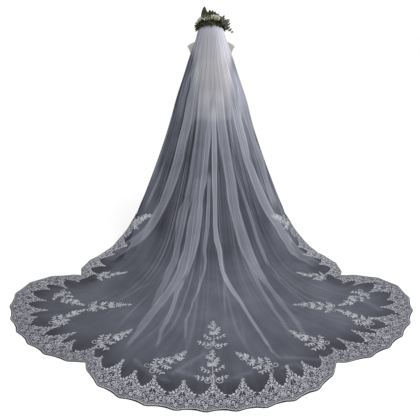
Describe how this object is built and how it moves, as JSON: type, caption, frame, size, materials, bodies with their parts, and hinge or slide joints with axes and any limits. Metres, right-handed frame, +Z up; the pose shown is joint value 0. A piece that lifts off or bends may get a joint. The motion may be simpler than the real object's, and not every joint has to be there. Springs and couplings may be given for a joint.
{
  "type": "bridal veil with a flower wreath on a dress form",
  "caption": "Cathedral-length tulle veil with a scalloped lace border and a flower wreath, hanging from a headless dress form and spread over the floor.",
  "frame": {"origin": "middle of the whole footprint, at floor level", "axes": "+Z up, +Y the way the dress form faces, -Y the way the train runs, +X to the form's right"},
  "size_m": [2.5388, 2.8678, 1.6682],
  "materials": {
    "tulle_net": "soft sheer net over a dark ground",
    "corded_lace": "matt corded lace",
    "satin_ribbon": "satin",
    "leaf_cloth": "waxed cloth leaves",
    "petal_cloth": "matt cloth petals",
    "form_cover": "plain jersey cover",
    "painted_steel": "satin powder coat"
  },
  "bodies": {
    "root": {"veil_tulle_panel": "tulle_net", "lace_side_left": "corded_lace", "lace_train_left": "corded_lace", "lace_centre": "corded_lace", "lace_train_right": "corded_lace", "lace_side_right": "corded_lace", "lace_spray_01": "corded_lace", "lace_spray_02": "corded_lace", "lace_spray_03": "corded_lace", "lace_spray_04": "corded_lace", "lace_spray_05": "corded_lace", "lace_spray_06": "corded_lace", "lace_spray_07": "corded_lace", "lace_spray_08": "corded_lace", "lace_spray_09": "corded_lace", "lace_spray_10": "corded_lace", "lace_spray_11": "corded_lace", "lace_spray_12": "corded_lace", "lace_spray_13": "corded_lace", "lace_spray_14": "corded_lace", "gathering_ribbon": "satin_ribbon", "wreath_leaves": "leaf_cloth", "wreath_rose_1": "petal_cloth", "wreath_rose_2": "petal_cloth", "wreath_rose_3": "petal_cloth", "wreath_rose_4": "petal_cloth", "form_torso": "form_cover", "form_stand": "painted_steel"}
  },
  "joints": []
}
